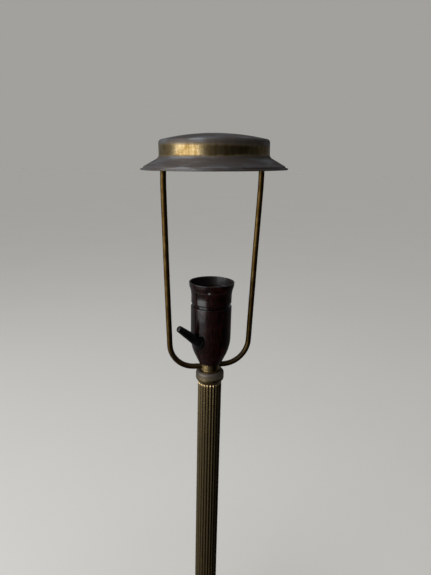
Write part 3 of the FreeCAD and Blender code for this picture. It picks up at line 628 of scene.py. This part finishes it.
def drawn_grain(finish, size=0.22, length=60.0):
    """Fine lines along the lamp's axis, as drawing through a die leaves them."""
    return finish.noise(size, stretch=(1, 1, length / size), detail=2.0, roughness=0.6)


def wire_grain(finish):
    """Fine lines along a bent wire."""
    node = finish.tree.nodes.new("ShaderNodeUVMap")
    node.uv_map = "grain"
    around = finish.calc("MULTIPLY", finish.part(node.outputs[0], "X"), WIRE_HALF_GIRTH)
    along = finish.calc("MULTIPLY", finish.part(node.outputs[0], "Y"), 1 / WIRE_GRAIN_STRETCH)
    return finish.noise(0.3, at=finish.joined(around, 0.0, along), detail=2.0, roughness=0.6)


def brass(name, grain, tone=0.0, patina=0.0, shine=0.0, patina_heights=(), streaks=0.0, speckle=0.2):
    """Aged brass: tarnish in blotches, rubbed places, grain, and patina where the metal faces up, smeared
    with a grey that is partly tarnish and partly a painted bluish sheen.
    """
    finish = Finish(name)
    blotch = finish.noise(11.0, detail=5.0, roughness=0.6, warp=0.4)
    speck = finish.noise(0.9, detail=3.0, roughness=0.65)
    lines = grain(finish)
    wear = finish.calc("MULTIPLY_ADD", blotch, 0.40, finish.calc("MULTIPLY", speck, speckle))
    wear = finish.calc("MULTIPLY_ADD", lines, 0.25, wear)
    wear = finish.calc("ADD", wear, tone + 0.175 - 0.5 * (streaks + speckle))
    if streaks:
        wear = finish.calc("MULTIPLY_ADD", finish.noise(2.6, stretch=(1, 1, 14), detail=2.0), streaks, wear)
    colour = finish.ramp(wear, [(0.28, BROWNED), (0.47, AGED), (0.62, RUBBED), (0.8, GOLDEN)])
    rise = finish.part(finish.coordinates.outputs["Normal"], "Z")
    cover = finish.spread(finish.calc("MULTIPLY_ADD", blotch, 0.35, rise), 0.25, 0.75)
    for clear, covered in patina_heights:
        height = finish.spread(finish.part(finish.place, "Z"), clear, covered)
        cover = finish.calc("MAXIMUM", cover, finish.calc("MULTIPLY", height, 0.95))
    cover = finish.calc("MULTIPLY", cover, patina)
    # Smears of the patina: dark tarnish mixed with a grey that is partly real and partly a painted bluish
    # sheen standing in for reflected light; they also set the roughness
    patina_and_sheen_smear = finish.noise(5.0, stretch=(4.0, 4.0, 0.8), detail=3.0, roughness=0.45, warp=0.3)
    patina_and_sheen_colour = finish.mix(finish.spread(patina_and_sheen_smear, 0.42, 0.78), PATINA, PATINA_GREY_AND_SHEEN)
    colour = finish.mix(cover, colour, patina_and_sheen_colour)
    matt = finish.spread(wear, 0.3, 0.75, 0.40 - shine, 0.26 - shine)
    matt = finish.blend(cover, matt, finish.spread(patina_and_sheen_smear, 0.4, 0.7, 0.55, 0.40))
    metal = finish.blend(cover, 1.0, 0.55)
    ground = finish.bump(lines, 0.012)
    ground = finish.bump(speck, 0.15 * speckle, ground)
    ground = finish.bump(blotch, 0.05, ground)
    return finish.set(Base_Color=colour, Roughness=matt, Metallic=metal, Normal=ground)


def bakelite(name, dark, light, matt, streak, mouth_z=None):
    """Moulded phenolic: marbled along the flow, glossy, with hairline scratches, and dull in its mouth."""
    finish = Finish(name)
    flow = finish.noise(2.4, stretch=(1, 1, 9), detail=5.0, roughness=0.62, warp=1.2)
    cloud = finish.noise(7.0, detail=3.0)
    marble = finish.calc("MULTIPLY_ADD", flow, 0.7, finish.calc("MULTIPLY", cloud, 0.3))
    colour = finish.mix(finish.spread(marble, 0.45, 0.68), dark, light)
    hair = finish.noise(0.35, stretch=(1, 1, 30), detail=2.0)
    dust = finish.noise(0.5, detail=4.0, roughness=0.7)
    gloss = finish.spread(finish.calc("MULTIPLY_ADD", cloud, 0.6, dust), 0.55, 1.05, matt, matt + 0.10)
    if mouth_z:
        across = finish.vector("LENGTH", finish.vector("MULTIPLY", finish.place, (1, 1, 0)))
        inside = finish.spread(across, MOUTH_R * MM, (MOUTH_R - MOUTH_EDGE) * MM)
        above = finish.spread(finish.part(finish.place, "Z"), mouth_z, mouth_z + MM)
        gloss = finish.blend(finish.calc("MULTIPLY", inside, above), gloss, 0.5)
    ground = finish.bump(hair, streak)
    ground = finish.bump(finish.noise(9.0, detail=2.0), 0.12, ground)
    finish.set(Base_Color=colour, Roughness=gloss, Normal=ground)
    return finish.set(IOR=1.50, Coat_Weight=0.15, Coat_Roughness=0.12)


def contact_brass():
    return brass("contact_brass", spun_grain, tone=0.16, patina=0.15, shine=0.04)


def porcelain():
    finish = Finish("porcelain")
    cloud = finish.noise(5.0, detail=3.0)
    pits = finish.noise(0.6, detail=4.0, roughness=0.7)
    colour = finish.mix(cloud, (0.72, 0.69, 0.60), (0.82, 0.80, 0.74))
    colour = finish.mix(finish.spread(pits, 0.68, 0.8), colour, (0.28, 0.22, 0.15))
    ground = finish.bump(pits, 0.02)
    return finish.set(Base_Color=colour, Roughness=0.16, Normal=ground, Coat_Weight=0.5)


def worn_metal(name, first, second, matt, grain_size):
    finish = Finish(name)
    cloud = finish.noise(4.0, detail=5.0, roughness=0.65)
    grain = finish.noise(grain_size, detail=3.0)
    colour = finish.mix(finish.spread(cloud, 0.35, 0.65), first, second)
    gloss = finish.spread(grain, 0.3, 0.7, matt, matt + 0.2)
    ground = finish.bump(grain, grain_size * 0.12)
    return finish.set(Base_Color=colour, Roughness=gloss, Metallic=1.0, Normal=ground)


def cast_iron():
    finish = Finish("iron")
    sand = finish.noise(0.8, detail=5.0, roughness=0.7)
    rust = finish.noise(9.0, detail=5.0, roughness=0.6)
    colour = finish.mix(finish.spread(rust, 0.5, 0.7), (0.07, 0.068, 0.066), (0.11, 0.055, 0.03))
    return finish.set(Base_Color=colour, Roughness=0.72, Metallic=0.55, Normal=finish.bump(sand, 0.12))


def felt():
    finish = Finish("felt")
    wool = finish.noise(0.35, stretch=(1, 1, 0.6), detail=5.0, roughness=0.75, warp=2.0)
    clump = finish.noise(3.0, detail=4.0)
    dye = finish.calc("MULTIPLY_ADD", wool, 0.6, finish.calc("MULTIPLY", clump, 0.4))
    colour = finish.ramp(dye, [(0.3, (0.02, 0.045, 0.028)), (0.7, (0.075, 0.13, 0.085))])
    ground = finish.bump(wool, 0.25)
    return finish.set(Base_Color=colour, Roughness=0.95, Normal=ground, Sheen_Weight=0.4)


def moulded(name, dark, light):
    """Matt insulation or a small moulding."""
    finish = Finish(name)
    cloud = finish.noise(2.0, detail=4.0)
    skin = finish.noise(0.25, detail=3.0)
    colour = finish.mix(cloud, dark, light)
    gloss = finish.spread(skin, 0.3, 0.7, 0.42, 0.6)
    return finish.set(Base_Color=colour, Roughness=gloss, Normal=finish.bump(skin, 0.02))


def band_over(height, band):
    """A band of patina, in metres, from one given over some height in millimetres."""
    return tuple((height + edge) * MM for edge in band)


def make_finishes():
    """One finish for each of the record's material slots."""
    cap_foot, cap_top = frame_span("gallery_cap")[1:]
    column_top = frame_span("column_tube")[2]
    cap_patina = [band_over(cap_top, CAP_TOP_PATINA), band_over(cap_foot, CAP_FOOT_PATINA)]
    collar_patina = [band_over(column_top, COLLAR_PATINA)]
    mouth_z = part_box("holder_mantle")[1].z - MOUTH_DEPTH * MM
    return {
        "foot_brass": brass("foot_brass", spun_grain, tone=-0.03, patina=0.6),
        "column_brass": brass("column_brass", drawn_grain, tone=0.16, patina=0.2, speckle=0.03),
        "collar_brass": brass("collar_brass", spun_grain, 0.11, 0.9, 0.02, collar_patina),
        "bush_brass": brass("bush_brass", spun_grain, tone=0.27, patina=0.05),
        "harp_brass": brass("harp_brass", wire_grain, tone=-0.18, patina=0.35, shine=-0.06),
        "cap_brass": brass("cap_brass", spun_grain, 0.03, 1.0, 0.03, cap_patina, 0.3),
        "contact_brass": contact_brass(),
        "bakelite": bakelite("bakelite", *MAROON, 0.14, 0.012, mouth_z),
        "lever_bakelite": bakelite("lever_bakelite", *BLACK, 0.12, 0.008),
        "porcelain": porcelain(),
        "steel": worn_metal("steel", (0.36, 0.35, 0.34), (0.5, 0.49, 0.47), 0.3, 0.3),
        "solder": worn_metal("solder", (0.22, 0.21, 0.2), (0.36, 0.35, 0.33), 0.4, 0.7),
        "iron": cast_iron(),
        "felt": felt(),
        "inlet": moulded("inlet", (0.02, 0.012, 0.01), (0.045, 0.026, 0.02)),
        "lead_live": moulded("lead_live", (0.12, 0.05, 0.02), (0.17, 0.075, 0.03)),
        "lead_neutral": moulded("lead_neutral", (0.03, 0.03, 0.032), (0.05, 0.05, 0.055)),
    }


def paint(finishes, pieces):
    """Each frame node and each piece gets the finish of its slot."""
    for part in frame["record"]["subparts"]:
        node = frame["nodes"][part["node"]]
        node.data.materials.clear()
        node.data.materials.append(finishes[part["material_slot"]])
    for piece in pieces:
        piece.data.materials.append(finishes[piece["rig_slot"]])


# Studio

FLOOR_ALBEDO = (0.60, 0.585, 0.55)
FLOOR_REACH = 30.0
FLOOR_SIDES = 96
FLOOR_LIGHT = 1.45
FLOOR_LIGHT_ANGLE = math.radians(50)

# Sky: its mean level, how much its bright side adds, and where that side is
SKY = 0.105
SKY_TILT = 0.11
SKY_SIDE = 122
SKY_RISE = 0.6
SKY_COLOUR = (0.95, 0.98, 1.0)

# Panels of light: angle to the left of the camera, distance, height, size, watts and colour
LIT_HEIGHT = 0.5
WINDOW = (56, 1.5, 0.62), (1.5, 1.3), 18, (0.95, 0.98, 1.0)
OVERHEAD = (75, 0.8, 1.9), (1.4, 1.4), 12, (0.92, 0.95, 1.0)


def around_view(angle, distance, height):
    """A place at an angle to the left of the camera, seen from the lamp's axis."""
    turn = math.radians(angle) + VIEW_AZIMUTH
    return Vector((-math.sin(turn) * distance, -math.cos(turn) * distance, height))


def add_camera():
    holder_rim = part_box("holder_mantle")[1].z
    turn = Matrix.Rotation(-VIEW_AZIMUTH, 3, "Z")
    ahead = turn @ Vector((
        math.sin(VIEW_YAW) * math.cos(VIEW_PITCH), math.cos(VIEW_YAW) * math.cos(VIEW_PITCH),
        -math.sin(VIEW_PITCH),
    ))
    level = turn @ Vector((math.cos(VIEW_YAW), -math.sin(VIEW_YAW), 0))
    upright = level.cross(ahead)
    right = level * math.cos(VIEW_ROLL) + upright * math.sin(VIEW_ROLL)
    up = upright * math.cos(VIEW_ROLL) - level * math.sin(VIEW_ROLL)
    camera = bpy.data.objects.new("camera", bpy.data.cameras.new("camera"))
    camera.data.lens = VIEW_LENS
    camera.data.clip_start = 0.01
    place = around_view(0, VIEW_DISTANCE, holder_rim + VIEW_RISE)
    axes = Matrix((right, up, -ahead)).transposed()
    camera.matrix_world = Matrix.Translation(place) @ axes.to_4x4()
    bpy.context.scene.collection.objects.link(camera)
    bpy.context.scene.camera = camera


def add_panel(name, stand, size, power, colour):
    place = around_view(*stand)
    light = bpy.data.lights.new(name, "AREA")
    light.shape = "RECTANGLE"
    light.size, light.size_y = size
    light.energy = power
    light.color = colour
    panel = bpy.data.objects.new(name, light)
    panel.location = place
    panel.rotation_euler = (Vector((0, 0, LIT_HEIGHT)) - place).to_track_quat("-Z", "Y").to_euler()
    panel.visible_camera = False
    bpy.context.scene.collection.objects.link(panel)


def add_floor():
    """A pale floor that the pieces don't reflect, with a sun that lights nothing else."""
    mesh = bpy.data.meshes.new("studio_floor")
    turns = [math.tau * i / FLOOR_SIDES for i in range(FLOOR_SIDES)]
    edge = [(FLOOR_REACH * math.cos(turn), FLOOR_REACH * math.sin(turn), 0) for turn in turns]
    mesh.from_pydata(edge, [], [list(range(FLOOR_SIDES))])
    floor = bpy.data.objects.new("studio_floor", mesh)
    bpy.context.scene.collection.objects.link(floor)
    finish = Finish("studio_floor")
    shade = finish.noise(400.0, detail=2.0)
    darker, lighter = (tuple(level * c for c in FLOOR_ALBEDO) for level in (0.98, 1.02))
    colour = finish.mix(shade, darker, lighter)
    mesh.materials.append(finish.set(Base_Color=colour, Roughness=0.9, Specular_IOR_Level=0.0))
    floor.visible_glossy = False
    sun = bpy.data.lights.new("floor_light", "SUN")
    sun.energy = FLOOR_LIGHT
    sun.angle = FLOOR_LIGHT_ANGLE
    sun_lamp = bpy.data.objects.new("floor_light", sun)
    bpy.context.scene.collection.objects.link(sun_lamp)
    lit = bpy.data.collections.new("lit_floor")
    lit.objects.link(floor)
    sun_lamp.light_linking.receiver_collection = lit


def add_sky():
    """A soft sky, brighter on the camera's left. Seen past the floor, it has the far floor's shade."""
    world = bpy.data.worlds.new("studio")
    bpy.context.scene.world = world
    world.use_nodes = True
    tree = world.node_tree
    tree.nodes.clear()
    output = tree.nodes.new("ShaderNodeOutputWorld")
    seen = tree.nodes.new("ShaderNodeBackground")
    lit = tree.nodes.new("ShaderNodeBackground")
    choose = tree.nodes.new("ShaderNodeMixShader")
    path = tree.nodes.new("ShaderNodeLightPath")
    place = tree.nodes.new("ShaderNodeTexCoord")
    side = tree.nodes.new("ShaderNodeVectorMath")
    side.operation = "DOT_PRODUCT"
    bright = around_view(SKY_SIDE, math.sqrt(1 - SKY_RISE ** 2), SKY_RISE)
    side.inputs[1].default_value = bright
    level = tree.nodes.new("ShaderNodeMath")
    level.operation = "MULTIPLY_ADD"
    level.inputs[1].default_value = SKY_TILT
    level.inputs[2].default_value = SKY
    tree.links.new(place.outputs["Generated"], side.inputs[0])
    tree.links.new(side.outputs["Value"], level.inputs[0])
    tree.links.new(level.outputs[0], lit.inputs["Strength"])
    lit.inputs["Color"].default_value = (*SKY_COLOUR, 1)
    above = SKY + SKY_TILT * SKY_RISE * 2 / 3
    shades = [a * (FLOOR_LIGHT / math.pi + above * c) for a, c in zip(FLOOR_ALBEDO, SKY_COLOUR)]
    seen.inputs["Color"].default_value = (*shades, 1)
    tree.links.new(path.outputs["Is Camera Ray"], choose.inputs[0])
    tree.links.new(lit.outputs[0], choose.inputs[1])
    tree.links.new(seen.outputs[0], choose.inputs[2])
    tree.links.new(choose.outputs[0], output.inputs["Surface"])


def add_studio():
    bpy.context.scene.view_settings.view_transform = "Standard"
    add_camera()
    add_floor()
    add_sky()
    add_panel("window", *WINDOW)
    add_panel("overhead", *OVERHEAD)


add_studio()
made = [
    fluted_column(),
    collar(),
    harp_arm(-1, "harp_arm_left"),
    harp_arm(1, "harp_arm_right"),
    gallery_cap(),
    screw_shell(),
    neck_thread(),
]
paint(make_finishes(), made)
